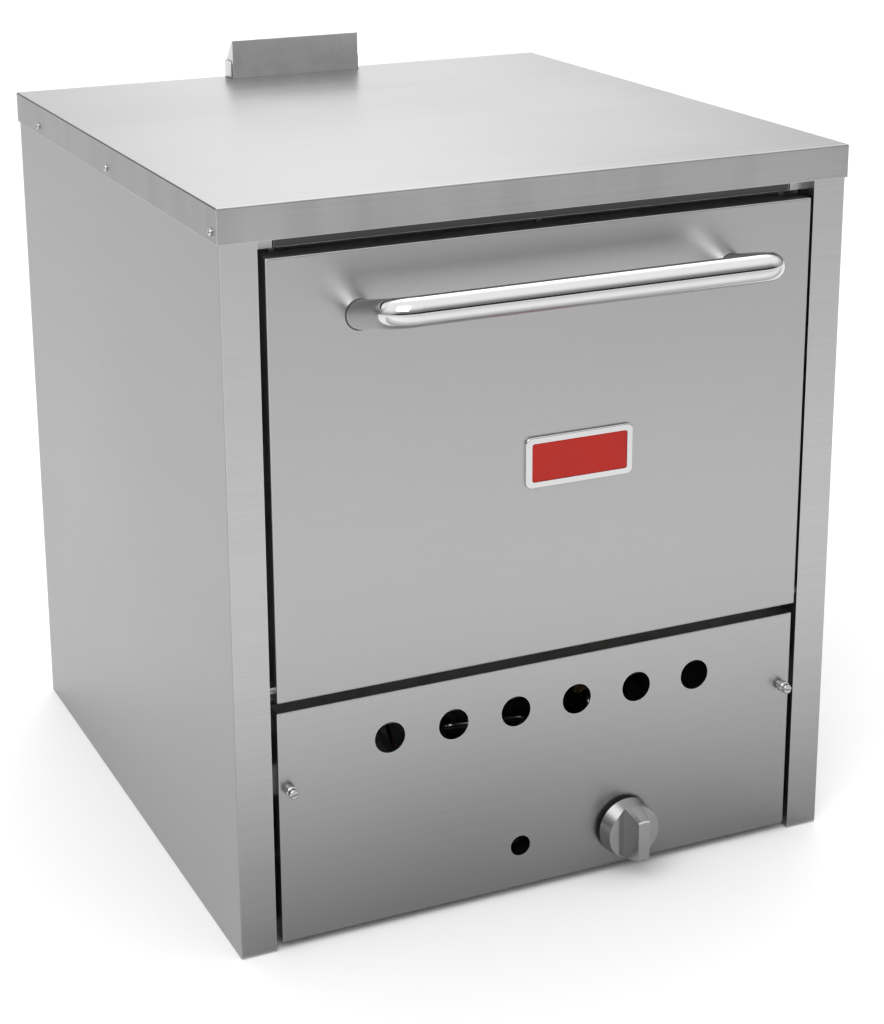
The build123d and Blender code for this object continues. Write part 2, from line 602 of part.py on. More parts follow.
def panel_collar():
    """Turned collar between the right panel screw's head and the panel."""
    x, z = PANEL_SCREW_X, PANEL_SCREW_Z
    step, front = PANEL_Y - COLLAR_STEP, PANEL_Y - COLLAR_FRONT
    barrel = rod(5.6, (x, front, z), (x, step, z))
    barrel = chamfer(barrel.edges(), 0.6)
    barrel += rod(4.0, (x, step, z), (x, PANEL_Y, z))
    return barrel - rod(2.6, (x, front - 1, z), (x, PANEL_Y + 1, z))


def panel_screw():
    """Right panel screw: slotted cheese head on a long shank."""
    x, z = PANEL_SCREW_X, PANEL_SCREW_Z
    seat, front = PANEL_Y - COLLAR_FRONT, PANEL_Y - SCREW_FRONT
    head = rod(4.6, (x, seat, z), (x, front, z))
    head = fillet(head.edges().sort_by(Axis.Y)[0], 1.4)
    slot = Pos(x, front, z) * Rot(0, 12, 0) * Box(12, 3.6, 1.3)
    return head - slot + rod(2.5, (x, seat, z), (x, BRACKET_Y + 4, z))


def panel_bracket():
    """Right angle on the stile's return that the panel screw threads into."""
    z0, z1 = PANEL_SCREW_Z - 15, PANEL_SCREW_Z + 15
    bracket = block(246, STILE_IN, BRACKET_Y - 2, BRACKET_Y, z0, z1)
    bracket += block(STILE_IN - 1.5, STILE_IN, BRACKET_Y, BRACKET_Y + 6, z0, z1)
    x, z = PANEL_SCREW_X, PANEL_SCREW_Z
    hole = rod(2.55, (x, BRACKET_Y - 3, z), (x, BRACKET_Y + 1, z))
    return bracket - hole


def knob_side_cut():
    """What is cut from one side of the knob to leave the grip and a scooped root."""
    depth = KNOB_FACE - KNOB_FRONT + 1
    root = GRIP_HALF_W + 3.2
    outline = (
        (GRIP_HALF_W, KNOB_FRONT - 1),
        (root, KNOB_FACE + 3.0),
        (root + 7.5, KNOB_FACE),
        (40, KNOB_FACE),
        (40, KNOB_FACE - depth),
    )
    face = make_face(Plane.XY * Polyline(*outline, close=True))
    return Pos(0, 0, -40) * extrude(face, amount=80, dir=(0, 0, 1))


def control_knob():
    """Skirt that narrows forward, with a flat face and a grip bar across it."""
    profile = (
        (0, KNOB_FRONT),
        (KNOB_FRONT_R - 1, KNOB_FRONT),
        (KNOB_FRONT_R, KNOB_FRONT + 1),
        (KNOB_FACE_R, KNOB_FACE),
        (KNOB_R, KNOB_BACK - 1),
        (KNOB_R - 1, KNOB_BACK),
        (0, KNOB_BACK),
    )
    knob = revolve(make_face(Polyline(*profile, close=True)), axis=Axis.Y)
    knob -= knob_side_cut() + mirrored(knob_side_cut())
    knob -= rod(KNOB_R - 4, (0, KNOB_BACK - 9, 0), (0, KNOB_BACK + 1, 0))
    hub = rod(9, (0, KNOB_BACK - 9, 0), (0, KNOB_BACK - 1, 0))
    return Pos(KNOB_X, 0, KNOB_Z) * (knob + hub - rod(STEM_R, (0, -336, 0), (0, KNOB_BACK + 1, 0)))


def thermostat_stem():
    stem = rod(STEM_R, (KNOB_X, -336, KNOB_Z), (KNOB_X, -264, KNOB_Z))
    return stem - block(KNOB_X - 6, KNOB_X + 6, -337, -318, KNOB_Z + 3.4, KNOB_Z + 6)


def thermostat_body():
    """Valve and thermostat casting with a neck for its stem and a gas port on each side."""
    body = fillet(block(57, 112, -272, -222, 22, 74).edges(), 3)
    body += rod(10, (KNOB_X, -284, KNOB_Z), (KNOB_X, -271, KNOB_Z))
    body += rod(12, (52, GAS_Y, SUPPLY_Z), (58, GAS_Y, SUPPLY_Z))
    body += rod(9, (KNOB_X, -247, 73), (KNOB_X, -247, 79))
    return body - rod(STEM_R + RUNNING_GAP, (KNOB_X, -285, KNOB_Z), (KNOB_X, -262, KNOB_Z))


def safety_valve_body():
    """Pilot safety valve with a neck for its push button."""
    body = fillet(block(-52, -2, -275, -225, 26, 74).edges(), 3)
    body += rod(10, (BUTTON_X, -283, BUTTON_Z), (BUTTON_X, -274, BUTTON_Z))
    body += rod(13, (-60, GAS_Y, SUPPLY_Z), (-51, GAS_Y, SUPPLY_Z))
    body += rod(12, (-3, GAS_Y, SUPPLY_Z), (4, GAS_Y, SUPPLY_Z))
    return body - rod(BUTTON_STEM_R + RUNNING_GAP, (BUTTON_X, -284, BUTTON_Z), (BUTTON_X, -258, BUTTON_Z))


BUTTON_STEM_R = 4.0


def safety_button():
    cap = rod(7, (BUTTON_X, -302, BUTTON_Z), (BUTTON_X, -293, BUTTON_Z))
    cap = fillet(cap.edges().sort_by(Axis.Y)[0], 1.5)
    return cap + rod(BUTTON_STEM_R, (BUTTON_X, -293, BUTTON_Z), (BUTTON_X, -268, BUTTON_Z))


THREAD_R, THREAD_LENGTH = 10.35, 20.0


def gas_supply_pipe():
    """Iron pipe from the back, round to the safety valve."""
    route = ((SUPPLY_X, SUPPLY_END_Y, SUPPLY_Z), (SUPPLY_X, GAS_Y, SUPPLY_Z), (-60, GAS_Y, SUPPLY_Z))
    tip = (SUPPLY_X, SUPPLY_END_Y + 1, SUPPLY_Z)
    shoulder = (SUPPLY_X, SUPPLY_END_Y - THREAD_LENGTH, SUPPLY_Z)
    thread_cut = rod(PIPE_R + 1, shoulder, tip) - rod(THREAD_R, shoulder, tip)
    return bent_rod(PIPE_R, route, 30) - thread_cut - bent_rod(PIPE_BORE, route, 30)


def manifold_pipe():
    return tube(8, 5.5, (4, GAS_Y, SUPPLY_Z), (52, GAS_Y, SUPPLY_Z))


ORIFICE_Y = -236.0


def burner_feed_tube():
    """Aluminium tube from the thermostat up to the orifice."""
    route = ((KNOB_X, -247, 79), (KNOB_X, -247, BURNER_Z), (KNOB_X, ORIFICE_Y, BURNER_Z))
    return bent_rod(5, route, 9) - bent_rod(3.6, route, 9)


def burner_orifice():
    spud = extrude(Plane.XZ * RegularPolygon(7.5, 6), amount=-10)
    spud -= Pos(0, 5, 0) * Rot(90, 0, 0) * Cylinder(0.9, 12)
    return Pos(KNOB_X, ORIFICE_Y, BURNER_Z) * spud


def burner():
    """Cast H-shaped burner with a mixer tube at the front and ports along the top."""
    ports, port_r = 14, 1.6
    cross = rod(BURNER_R, (-BURNER_X, CROSS_Y, BURNER_Z), (BURNER_X, CROSS_Y, BURNER_Z))
    mixer = rod(BURNER_R - 1, (KNOB_X, MOUTH_Y, BURNER_Z), (KNOB_X, CROSS_Y, BURNER_Z))
    mouth = rod(22, (KNOB_X, MOUTH_Y, BURNER_Z), (KNOB_X, MOUTH_Y + 4, BURNER_Z))
    casting = cross + mixer + mouth
    for x in (-BURNER_X, BURNER_X):
        casting += rod(BURNER_R, (x, -BURNER_LEN, BURNER_Z), (x, BURNER_LEN, BURNER_Z))
        for i in range(ports):
            y = (i - (ports - 1) / 2) * 22
            casting -= rod(port_r, (x, y, BURNER_Z + 5), (x, y, BURNER_Z + BURNER_R + 1))
    return casting - rod(10, (KNOB_X, MOUTH_Y - 1, BURNER_Z), (KNOB_X, CROSS_Y - 20, BURNER_Z))


def air_shutter():
    """Disc in front of the mixer's mouth, with two air windows and a grip tab."""
    back = MOUTH_Y - 0.5
    disc = rod(SHUTTER_R, (KNOB_X, back - SHUTTER_T, BURNER_Z), (KNOB_X, back, BURNER_Z))
    disc -= rod(9.2, (KNOB_X, back - 3, BURNER_Z), (KNOB_X, back + 1, BURNER_Z))
    for z in (BURNER_Z + 15.5, BURNER_Z - 15.5):
        disc -= rod(4, (KNOB_X, back - 3, z), (KNOB_X, back + 1, z))
    return disc + block(KNOB_X + 22, KNOB_X + 34, back - SHUTTER_T, back, BURNER_Z - 4, BURNER_Z + 4)


def burner_brackets():
    """Two straps under the burner, from wall to wall."""
    top = BURNER_Z - BURNER_R - 0.2
    return [block(-OPEN_X, OPEN_X, y - 15, y + 15, top - 2, top) for y in (-120, 120)]


PILOT_X, PILOT_Y = -100.0, -190.0


def pilot_burner():
    hood = block(PILOT_X - 8, PILOT_X + 8, PILOT_Y - 8, PILOT_Y + 8, 140, 165)
    hood = chamfer(hood.edges().group_by(Axis.Z)[-1], 2)
    return hood - rod(4, (PILOT_X, PILOT_Y, 150), (PILOT_X, PILOT_Y, 166))


def pilot_tube():
    """Small bright tube from the safety valve, across behind the air holes, to the pilot."""
    route = (
        (-12, -262, 74),
        (-12, -262, 110),
        (-4, -280, 162),
        (-84, -280, 169),
        (PILOT_X, -240, 150),
        (PILOT_X, PILOT_Y - 8, 150),
    )
    return bent_rod(3.2, route, 8)


def thermocouple():
    """Lead and probe from the safety valve to the pilot flame."""
    route = ((-40, -236, 74), (-40, -236, 120), (PILOT_X - 14, -222, 128), (PILOT_X - 14, PILOT_Y, 160))
    lead = bent_rod(1.5, route, 8)
    return lead + rod(3, (PILOT_X - 14, PILOT_Y, 158), (PILOT_X - 14, PILOT_Y, 184))


BULB_Y, BULB_Z, BULB_X = -262.0, 405.0, 217.0


def thermostat_bulb():
    """Capillary up in front of the insulation, and the bulb inside the chamber."""
    run_x, run_z = 240.0, 88.0
    route = (
        (100, BULB_Y, 74),
        (100, BULB_Y, run_z),
        (run_x, BULB_Y, run_z),
        (run_x, BULB_Y, BULB_Z),
        (BULB_X, BULB_Y, BULB_Z),
        (BULB_X, BULB_Y + 24, BULB_Z),
    )
    capillary = bent_rod(1.3, route, 7)
    return capillary + rod(4.5, (BULB_X, BULB_Y + 22, BULB_Z), (BULB_X, BULB_Y + 172, BULB_Z))


# ---------------------------------------------------------------- write every node

side_panel = right_side_panel()
insulation = right_insulation()

SINGLE_PIECES = {
    "top_cover": top_cover,
    "back_panel": back_panel,
    "base_pan": base_pan,
    "upper_front_rail": upper_front_rail,
    "lower_front_rail": lower_front_rail,
    "chamber_front_frame": chamber_front_frame,
    "chamber_shell": chamber_shell,
    "flame_baffle": flame_baffle,
    "back_insulation": back_insulation,
    "top_insulation": top_insulation,
    "flue_duct": flue_duct,
    "flue_diverter": flue_diverter,
    "flue_collar": flue_collar,
    "door_panel": door_panel,
    "door_liner": door_liner,
    "door_insulation": door_insulation,
    "door_handle": door_handle,
    "badge_frame": badge_frame,
    "badge_plate": badge_plate,
    "control_panel": control_panel,
    "control_knob": control_knob,
    "thermostat_stem": thermostat_stem,
    "thermostat_body": thermostat_body,
    "thermostat_bulb": thermostat_bulb,
    "safety_valve_body": safety_valve_body,
    "safety_button": safety_button,
    "gas_supply_pipe": gas_supply_pipe,
    "manifold_pipe": manifold_pipe,
    "burner_feed_tube": burner_feed_tube,
    "burner_orifice": burner_orifice,
    "burner": burner,
    "air_shutter": air_shutter,
    "pilot_burner": pilot_burner,
    "pilot_tube": pilot_tube,
    "thermocouple": thermocouple,
}

PAIRS = {
    "hinge_arms": hinge_arm,
    "hinge_pins": hinge_pin,
    "hinge_brackets": hinge_bracket,
    "spring_anchors": spring_anchor,
    "panel_collars": panel_collar,
    "panel_screws": panel_screw,
    "panel_brackets": panel_bracket,
}

GROUPS = {
    "cover_screws": cover_screws,
    "back_panel_screws": back_panel_screws,
    "frame_screws": frame_screws,
    "door_liner_screws": door_liner_screws,
    "handle_blocks": handle_blocks,
    "handle_bolts": handle_bolts,
    "deck_rails": deck_rails,
    "burner_brackets": burner_brackets,
}

for node, make in SINGLE_PIECES.items():
    save(node, make())
for node, make in PAIRS.items():
    save(node, *pair(make()))
for node, make in GROUPS.items():
    save(node, *make())

save("lower_deck", deck(LOWER_DECK_Z))
save("upper_deck", deck(UPPER_DECK_Z))
save("right_side_panel", side_panel)
save("left_side_panel", mirrored(side_panel))
save("right_insulation", insulation)
save("left_insulation", mirrored(insulation))
spring = door_spring()
save("right_door_spring", spring)
save("left_door_spring", mirrored(spring))
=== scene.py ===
import json
import math

import bpy
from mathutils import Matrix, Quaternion, Vector

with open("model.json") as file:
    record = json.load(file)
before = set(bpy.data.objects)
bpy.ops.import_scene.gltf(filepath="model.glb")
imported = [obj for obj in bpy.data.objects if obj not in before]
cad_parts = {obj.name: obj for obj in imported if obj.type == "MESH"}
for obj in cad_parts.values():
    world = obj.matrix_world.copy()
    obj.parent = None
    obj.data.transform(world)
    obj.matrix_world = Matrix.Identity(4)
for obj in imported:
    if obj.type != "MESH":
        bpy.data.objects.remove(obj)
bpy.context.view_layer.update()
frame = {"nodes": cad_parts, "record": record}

# ---------------------------------------------------------------- camera

CAMERA_AT = (-0.8798, -1.9524, 1.0786)
CAMERA_AZIMUTH, CAMERA_ELEVATION, CAMERA_ROLL = -23.811, 16.187, -0.576
LENS, SENSOR = 77.71, 36.0
SHIFT_X, SHIFT_Y = 0.041, -0.158
CLIP_NEAR, CLIP_FAR = 0.01, 100.0


def make_camera():
    a, e = math.radians(CAMERA_AZIMUTH), math.radians(CAMERA_ELEVATION)
    back = Vector((math.sin(a) * math.cos(e), -math.cos(a) * math.cos(e), math.sin(e)))
    data = bpy.data.cameras.new("camera")
    data.lens, data.sensor_width = LENS, SENSOR
    data.shift_x, data.shift_y = SHIFT_X, SHIFT_Y
    data.clip_start, data.clip_end = CLIP_NEAR, CLIP_FAR
    cam = bpy.data.objects.new("camera", data)
    cam.rotation_mode = "QUATERNION"
    roll = Quaternion((0, 0, 1), math.radians(CAMERA_ROLL))
    cam.rotation_quaternion = (-back).to_track_quat("-Z", "Y") @ roll
    cam.location = CAMERA_AT
    bpy.context.collection.objects.link(cam)
    bpy.context.scene.camera = cam


# ---------------------------------------------------------------- node helpers

# Where a face starts to count as looking along an axis, and where it counts fully.
FACE_FROM, FACE_FULL = 0.6, 0.8
# How far the rounded normal leans from the flat one on an edge and on a flat face, as a cosine.
LEAN_EDGE, LEAN_FLAT = 0.80, 0.99


class Nodes:
    """A node tree, with short ways to add to it."""

    def __init__(self, tree):
        self.tree = tree

    def add(self, kind, inputs=None, **settings):
        node = self.tree.nodes.new("ShaderNode" + kind)
        for key, value in settings.items():
            setattr(node, key, value)
        for key, value in (inputs or {}).items():
            self.put(node.inputs[key], value)
        return node

    def put(self, socket, value):
        if isinstance(value, bpy.types.NodeSocket):
            self.tree.links.new(value, socket)
        else:
            socket.default_value = value

    def spread(self, value, low, high, start=0.3, end=0.7, smooth=False):
        """Maps start..end to low..high, held at both ends."""
        inputs = {"Value": value, "From Min": start, "From Max": end, "To Min": low, "To Max": high}
        kind = "SMOOTHSTEP" if smooth else "LINEAR"
        return self.add("MapRange", inputs, interpolation_type=kind).outputs["Result"]

    def maths(self, operation, first, second):
        return self.add("Math", {0: first, 1: second}, operation=operation).outputs["Value"]

    def times(self, first, second):
        return self.maths("MULTIPLY", first, second)

    def between(self, factor, first, second):
        """Mix of two numbers."""
        return self.add("Mix", {"Factor": factor, 2: first, 3: second}, data_type="FLOAT").outputs[0]


class Surface(Nodes):
    """One material, with what its parts share."""

    def __init__(self, name):
        self.material = bpy.data.materials.new(name)
        self.material.use_nodes = True
        super().__init__(self.material.node_tree)
        self.shader = self.tree.nodes["Principled BSDF"]
        self.place = self.add("TexCoord").outputs["Object"]

    def scaled(self, scale):
        return self.add("Mapping", {"Vector": self.place, "Scale": scale}).outputs["Vector"]

    def noise(self, scale, detail=2.0, rough=0.5):
        """A noise of about 0.25 to 0.75, with its scale given for each axis in waves a metre."""
        inputs = {"Vector": self.scaled(scale), "Scale": 1.0, "Detail": detail, "Roughness": rough}
        return self.add("TexNoise", inputs).outputs["Fac"]

    def tint(self, factor, first, second):
        """Mix of two colours."""
        node = self.add("Mix", data_type="RGBA")
        self.put(node.inputs[0], factor)
        self.put(node.inputs[6], first)
        self.put(node.inputs[7], second)
        return node.outputs[2]

    def shade(self, color, value):
        """A colour made lighter or darker by a number."""
        grey = self.add("CombineColor", {"Red": value, "Green": value, "Blue": value}).outputs["Color"]
        node = self.add("Mix", data_type="RGBA", blend_type="MULTIPLY")
        self.put(node.inputs[0], 1.0)
        self.put(node.inputs[6], color)
        self.put(node.inputs[7], grey)
        return node.outputs[2]

    def facing(self, axis):
        """1 where the piece's own surface faces along this axis, either way, and 0 elsewhere."""
        normal = self.add("TexCoord").outputs["Normal"]
        part = self.add("SeparateXYZ", {"Vector": normal}).outputs[axis]
        return self.spread(self.maths("ABSOLUTE", part, 0.0), 0.0, 1.0, FACE_FROM, FACE_FULL)

    def edges(self, radius):
        """About 1 on edges and bends up to this radius, and 0 on flat faces."""
        rounded = self.add("Bevel", {"Radius": radius}, samples=4).outputs["Normal"]
        flat = self.add("NewGeometry").outputs["Normal"]
        node = self.add("VectorMath", {0: rounded, 1: flat}, operation="DOT_PRODUCT")
        return self.spread(node.outputs["Value"], 1.0, 0.0, LEAN_EDGE, LEAN_FLAT)

    def varied(self, color, *layers):
        """A colour whose brightness varies by (pattern, lowest, highest) for each layer."""
        shade = None
        for pattern, low, high in layers:
            level = self.spread(pattern, low, high)
            shade = level if shade is None else self.times(shade, level)
        return self.shade(color, shade)

    def finish(self, color, rough, height=None, depth=0.0002, strength=1.0):
        """Sets colour and roughness, and a bump of this depth in metres if there is a height."""
        self.put(self.shader.inputs["Base Color"], color)
        self.put(self.shader.inputs["Roughness"], rough)
        if height is not None:
            bump = self.add("Bump", {"Strength": strength, "Distance": depth, "Height": height})
            self.put(self.shader.inputs["Normal"], bump.outputs["Normal"])
        return self.material


# ---------------------------------------------------------------- materials

# Grain of brushed sheet: waves a metre along and across it, and noise detail.
FINE_GRAIN = (4, 900, 3.0)
COARSE_GRAIN = (1.5, 160, 2.0)
FINE_DEPTH, COARSE_DEPTH = 0.04, 0.015
SMEAR_WAVES = (22, 22, 1.5)
BEND_RADIUS = 0.0008


def even(waves):
    """The same scale for every axis."""
    return (waves, waves, waves)


def grey(value, blue=0.0):
    return (value, value, value + blue, 1.0)


def brushed(name, color, rough, side_axis=1, smears=0.0, grain=1.0, painted_face_shading=(1.0, 1.0)):
    """Brushed sheet. The grain runs along X, and along side_axis on the faces that look along X.
    The last argument holds painted shade and painted highlight: it makes the faces that look along X
    and along Y darker or lighter, for how light falls on them."""
    s = Surface(name)
    s.shader.inputs["Metallic"].default_value = 1.0
    side = s.facing("X")
    layers = []
    for along, across, detail in (FINE_GRAIN, COARSE_GRAIN):
        lengthways = s.noise((along, across, across), detail)
        scale = [across] * 3
        scale[side_axis] = along
        layers.append(s.between(side, lengthways, s.noise(scale, detail)))
    fine, coarse = layers
    cloud = s.noise(even(3))
    fine_depth, coarse_depth = FINE_DEPTH * grain, COARSE_DEPTH * grain
    shade = s.times(s.spread(fine, 1 - fine_depth, 1 + fine_depth),
                    s.spread(coarse, 1 - coarse_depth, 1 + coarse_depth))
    shade = s.times(shade, s.spread(cloud, 0.97, 1.03))
    if smears:
        smear = s.spread(s.noise(SMEAR_WAVES), 1 - smears, 1.0, 0.32, 0.56)
        shade = s.times(shade, s.between(s.facing("Z"), smear, 1.0))
    # Painted shade and painted highlight: the faces that look along X and along Y are made darker or
    # lighter by the given numbers.
    for axis, level in zip("XY", painted_face_shading):
        shade = s.times(shade, s.between(s.facing(axis), 1.0, level))
    # Painted highlight: edges and bends are tinted towards near white.
    painted_edge_highlight = s.edges(BEND_RADIUS)
    color = s.tint(s.times(painted_edge_highlight, 0.8), s.shade(color, shade), grey(0.95))
    roughness = s.maths("ADD", s.spread(fine, rough - 0.02, rough + 0.02), s.spread(cloud, -0.02, 0.03))
    return s.finish(color, roughness, fine, 0.00002, 0.06)


def polished(name, color, rough, painted_edge_highlight=0.0):
    """Plated metal with faint wipe marks, and a painted highlight on its edges when one is given."""
    s = Surface(name)
    s.shader.inputs["Metallic"].default_value = 1.0
    wipes = s.noise(even(60), 4.0, 0.6)
    marks = s.spread(s.noise((900, 30, 900)), 0.0, 0.03, 0.55, 0.75)
    roughness = s.maths("ADD", s.spread(wipes, rough, rough + 0.04), marks)
    body = s.varied(color, (wipes, 0.97, 1.0))
    # Painted highlight: edges are tinted towards near white by the given share.
    if painted_edge_highlight:
        body = s.tint(s.times(s.edges(0.0006), painted_edge_highlight), body, grey(0.95))
    return s.finish(body, roughness, wipes, 0.00001, 0.3)


def galvanised(name, color, rough):
    """Zinc sheet with its crystals."""
    s = Surface(name)
    s.shader.inputs["Metallic"].default_value = 0.9
    cells = s.add("TexVoronoi", {"Vector": s.scaled(even(110)), "Scale": 1.0, "Randomness": 1.0})
    crystal = s.add("SeparateColor", {"Color": cells.outputs["Color"]}).outputs["Red"]
    cloud = s.noise(even(9), 3.0)
    shade = s.times(s.spread(crystal, 0.97, 1.02, 0.0, 1.0), s.spread(cloud, 0.97, 1.02))
    # Painted highlight: bends are tinted towards pale grey.
    body = s.tint(s.times(s.edges(BEND_RADIUS), 0.4), s.shade(color, shade), grey(0.7))
    roughness = s.spread(crystal, rough - 0.01, rough + 0.03, 0.0, 1.0)
    return s.finish(body, roughness, crystal, 0.00001, 0.15)


HEATED_STEEL = (0.30, 0.24, 0.18, 1.0)


def aluminised(name, color, rough):
    """Dull coated steel with faint heat marks."""
    s = Surface(name)
    s.shader.inputs["Metallic"].default_value = 0.85
    cloud = s.noise(even(14), 4.0, 0.6)
    fleck = s.noise(even(700))
    heat = s.spread(s.noise(even(5), 3.0), 0.0, 0.35, 0.5, 0.8)
    body = s.varied(color, (cloud, 0.88, 1.06), (fleck, 0.95, 1.05))
    body = s.tint(heat, body, HEATED_STEEL)
    return s.finish(body, s.spread(cloud, rough - 0.06, rough + 0.08), fleck, 0.00003, 0.4)


WEAR = 0.3


def cast(name, color, rough, metallic, grain=500):
    """Cast or scaled metal with a pitted skin."""
    s = Surface(name)
    s.shader.inputs["Metallic"].default_value = metallic
    pits = s.noise(even(grain), 4.0, 0.6)
    body = s.varied(color, (pits, 0.85, 1.15), (s.noise(even(40)), 0.85, 1.1))
    body = s.tint(s.times(s.edges(0.0007), WEAR), body, grey(0.5))
    return s.finish(body, s.spread(pits, rough - 0.07, rough + 0.07), pits, 0.00015, 0.6)


WOOL_DARK, WOOL_PALE = (0.42, 0.36, 0.22, 1.0), (0.66, 0.60, 0.42, 1.0)


def wool():
    """Mineral wool: crossing fibres in uneven clumps."""
    s = Surface("mineral_wool")
    fibre = s.maths("MAXIMUM", s.noise((60, 900, 700), 3.0), s.noise((900, 70, 800), 3.0))
    clump = s.noise(even(45), 4.0, 0.65)
    body = s.tint(s.spread(clump, 0.0, 1.0), WOOL_DARK, WOOL_PALE)
    body = s.shade(body, s.spread(fibre, 0.75, 1.1, 0.4, 0.7))
    s.shader.inputs["Sheen Weight"].default_value = 0.3
    height = s.maths("ADD", fibre, s.times(clump, 2.0))
    return s.finish(body, 0.95, height, 0.003, 0.7)


STONE_DARK, STONE_PALE = (0.58, 0.50, 0.39, 1.0), (0.70, 0.63, 0.52, 1.0)
SCORCHED = (0.30, 0.20, 0.12, 1.0)


def stone():
    """Pressed baking stone with speckles and faint scorching."""
    s = Surface("baking_stone")
    speck = s.noise(even(1100))
    cloud = s.noise(even(12), 4.0, 0.6)
    scorch = s.spread(s.noise((5, 5, 2), 4.0, 0.6), 0.0, 0.5, 0.52, 0.8)
    body = s.tint(s.spread(cloud, 0.0, 1.0), STONE_DARK, STONE_PALE)
    body = s.tint(scorch, body, SCORCHED)
    body = s.shade(body, s.spread(speck, 0.8, 1.1, 0.35, 0.6))
    return s.finish(body, s.spread(speck, 0.8, 0.95), speck, 0.0004, 0.6)


def enamel(name, color, rough):
    """Glossy coloured face with a slight orange peel."""
    s = Surface(name)
    s.shader.inputs["Specular IOR Level"].default_value = 0.2
    peel = s.noise(even(500))
    cloud = s.noise(even(30))
    body = s.varied(color, (cloud, 0.95, 1.04))
    return s.finish(body, s.spread(cloud, rough, rough + 0.05), peel, 0.00002, 0.3)


def moulded(name, color, rough):
    """Moulded plastic with a fine spark texture and paler worn edges."""
    s = Surface(name)
    spark = s.noise(even(2200))
    body = s.varied(color, (spark, 0.85, 1.15))
    body = s.tint(s.times(s.edges(0.0005), 0.3), body, grey(0.12))
    return s.finish(body, s.spread(spark, rough - 0.05, rough + 0.05), spark, 0.00008, 0.6)


def make_materials():
    """One material for each slot of the record, and three for sheets that differ from their slot."""
    return {
        # Painted highlight: the stainless faces that look along Y are made half again as bright.
        "stainless": brushed("stainless_sheet", grey(0.31, 0.004), 0.34, painted_face_shading=(1.0, 1.5)),
        "door_steel": brushed("door_sheet", grey(0.41), 0.32, grain=0.35),
        "panel_steel": brushed("panel_sheet", grey(0.42), 0.30, grain=0.5),
        "chrome": polished("chrome_plate", grey(0.62), 0.05),
        "knob_chrome": polished("satin_chrome", grey(0.5), 0.18, painted_edge_highlight=0.4),
        "screw_steel": polished("plated_screw", grey(0.55), 0.25, painted_edge_highlight=0.5),
        "galvanised": galvanised("galvanised_sheet", grey(0.72, 0.01), 0.36),
        "aluminised": aluminised("aluminised_sheet", grey(0.30), 0.48),
        "wool": wool(),
        "deck_stone": stone(),
        "badge_silver": brushed("badge_rim", grey(0.62), 0.22, grain=0.3),
        "badge_red": enamel("badge_field", (0.42, 0.018, 0.012, 1.0), 0.4),
        "black_iron": cast("black_pipe", grey(0.035), 0.55, 0.4),
        "valve_alloy": cast("die_cast_alloy", grey(0.42), 0.42, 1.0, grain=900),
        "bright_tube": polished("drawn_aluminium", grey(0.75), 0.22),
        "brass": polished("turned_brass", (0.42, 0.30, 0.13, 1.0), 0.28, painted_edge_highlight=0.3),
        "copper": polished("copper_tube", (0.22, 0.12, 0.08, 1.0), 0.34),
        "button_black": moulded("black_plastic", grey(0.02), 0.45),
        "spring_steel": polished("oiled_spring", grey(0.30), 0.32),
        # Painted shade: the cover's faces that look along X and along Y are darkened, so the top stays
        # lighter.
        "cover_sheet": brushed("cover_sheet", grey(0.43, 0.004), 0.30, side_axis=2, smears=0.1,
                               painted_face_shading=(0.58, 0.92)),
        "back_zinc": galvanised("back_zinc", grey(0.46, 0.01), 0.4),
        # Painted shade: the front rails' sheet is made nearly black for the shade they sit in at the
        # gaps by the door.
        "rail_painted_shade": brushed("rail_painted_shade", grey(0.09), 0.38),
    }


# Nodes whose material is not the one of their slot.
OTHER_MATERIALS = {
    "top_cover": "cover_sheet",
    "back_panel": "back_zinc",
    # The front rails get the sheet darkened as painted shade.
    "upper_front_rail": "rail_painted_shade",
    "lower_front_rail": "rail_painted_shade",
    "hinge_pins": "spring_steel",
}


def give_materials():
    materials = make_materials()
    slots = {row["node"]: row["material_slot"] for row in frame["record"]["subparts"]}
    for node, obj in frame["nodes"].items():
        key = OTHER_MATERIALS.get(node, slots[node])
        for slot in obj.material_slots:
            slot.material = materials[key]


# ---------------------------------------------------------------- studio

# World: brightness at the horizon and overhead, and how much is left of it low down in front, in a
# band at the front's horizon, and low down at the back on the left and right.
HORIZON, OVERHEAD = 0.5, 1.3
FRONT_DIM, FRONT_BAND, BACK_LEFT, BACK_RIGHT = 0.35, 0.1, 0.25, 0.35
GLOW, GLOW_WAY, GLOW_START = 1.2, (0.254, 0.698, 0.669), 0.78
# Card, seen only in reflections and carrying painted shadow and shade: x0, x1, y0 and y1, its
# brightness near the oven and far away, and where it changes along y.
FRONT_CARD = (-2.5, 4.0, -5.0, -0.289)
CARD_NEAR, CARD_FAR = 0.4, 0.75
CARD_NEAR_Y, CARD_BRIGHT_Y, CARD_FAR_Y = -0.29, -0.85, -2.8
FLOOR_SIDE = 60.0
FLOOR_DROP = 0.0004
KEY_AT, KEY_TARGET, KEY_SIZE, KEY_POWER = (-1.6, -1.8, 2.6), (0, 0, 0.3), 2.0, 40


def make_floor():
    mesh = bpy.data.meshes.new("floor")
    half = FLOOR_SIDE / 2
    corners = [(-half, -half), (half, -half), (half, half), (-half, half)]
    mesh.from_pydata([(x, y, -FLOOR_DROP) for x, y in corners], [], [(0, 1, 2, 3)])
    floor = bpy.data.objects.new("floor", mesh)
    bpy.context.collection.objects.link(floor)
    s = Surface("pale_floor")
    body = s.varied(grey(0.89), (s.noise(even(2)), 0.99, 1.0))
    mesh.materials.append(s.finish(body, 0.8))


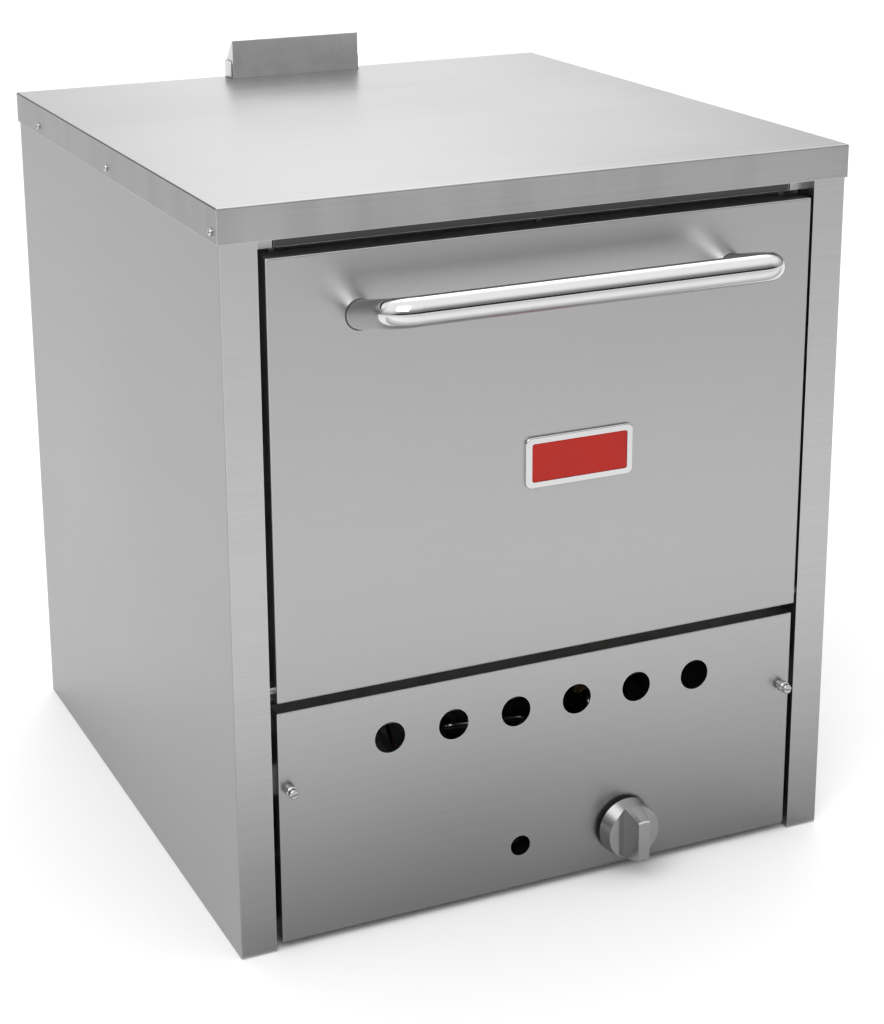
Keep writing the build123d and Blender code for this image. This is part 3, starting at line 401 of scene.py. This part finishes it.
def make_front_card():
    """A card on the floor before the oven that only reflections see, dim near the oven and far away:
    painted shadow of the oven near it, and painted shade further out.
    """
    x0, x1, y0, y1 = FRONT_CARD
    mesh = bpy.data.meshes.new("front_card")
    mesh.from_pydata([(x0, y0, 0), (x1, y0, 0), (x1, y1, 0), (x0, y1, 0)], [], [(0, 1, 2, 3)])
    card = bpy.data.objects.new("front_card", mesh)
    bpy.context.collection.objects.link(card)
    s = Surface("card_painted_shadow")
    along = s.add("SeparateXYZ", {"Vector": s.place}).outputs["Y"]
    # Painted shadow near the oven and painted shade far away, along y.
    near = s.spread(along, 1.0, CARD_NEAR, CARD_BRIGHT_Y, CARD_NEAR_Y)
    far = s.spread(along, CARD_FAR, 1.0, CARD_FAR_Y, CARD_BRIGHT_Y)
    shade = s.times(s.times(near, far), s.spread(s.noise(even(3)), 0.98, 1.0))
    mesh.materials.append(s.finish(s.shade(grey(0.9), shade), 0.9))
    card.visible_camera = card.visible_diffuse = card.visible_shadow = False


def dimmed(n, level, where, left):
    """The level, brought down to a share of itself where the mask is 1."""
    return n.times(level, n.spread(where, 1.0, left, 0.0, 1.0))


def make_world():
    """A soft studio: bright overhead, with a glow behind, and dim low down in front."""
    world = bpy.data.worlds.new("studio")
    world.use_nodes = True
    n = Nodes(world.node_tree)
    way = n.add("TexCoord").outputs["Generated"]
    x, y, z = n.add("SeparateXYZ", {"Vector": way}).outputs[:]
    low = n.spread(z, 1.0, 0.0, 0.35, 0.75, smooth=True)
    band = n.spread(z, 1.0, 0.0, 0.10, 0.22, smooth=True)
    front = n.spread(y, 1.0, 0.0, -0.75, -0.15, smooth=True)
    back = n.spread(y, 0.0, 1.0, 0.2, 0.6, smooth=True)
    fall = n.times(n.spread(x, BACK_LEFT, 1.0, 0.12, 0.36, smooth=True),
                   n.spread(x, 1.0, BACK_RIGHT, 0.38, 0.62, smooth=True))
    level = n.spread(z, HORIZON, OVERHEAD, 0.02, 0.55, smooth=True)
    level = dimmed(n, level, n.times(front, low), FRONT_DIM)
    level = dimmed(n, level, n.times(front, band), FRONT_BAND)
    level = n.times(level, n.between(n.times(back, low), 1.0, fall))
    glow = n.add("VectorMath", {0: way, 1: GLOW_WAY}, operation="DOT_PRODUCT").outputs["Value"]
    level = n.maths("ADD", level, n.spread(glow, 0.0, GLOW, GLOW_START, 1.0, smooth=True))
    background = n.tree.nodes["Background"]
    n.put(background.inputs["Color"], grey(1.0))
    n.put(background.inputs["Strength"], level)
    bpy.context.scene.world = world


def add_light(name, at, target, size, power):
    data = bpy.data.lights.new(name, "AREA")
    data.shape = "SQUARE"
    data.size = size
    data.energy = power
    light = bpy.data.objects.new(name, data)
    light.location = at
    aim = Vector(target) - Vector(at)
    light.rotation_mode = "QUATERNION"
    light.rotation_quaternion = aim.to_track_quat("-Z", "Y")
    bpy.context.collection.objects.link(light)


def make_studio():
    make_floor()
    make_front_card()
    make_world()
    add_light("key", KEY_AT, KEY_TARGET, KEY_SIZE, KEY_POWER)
    bpy.context.scene.view_settings.view_transform = "Standard"


make_camera()
give_materials()
make_studio()
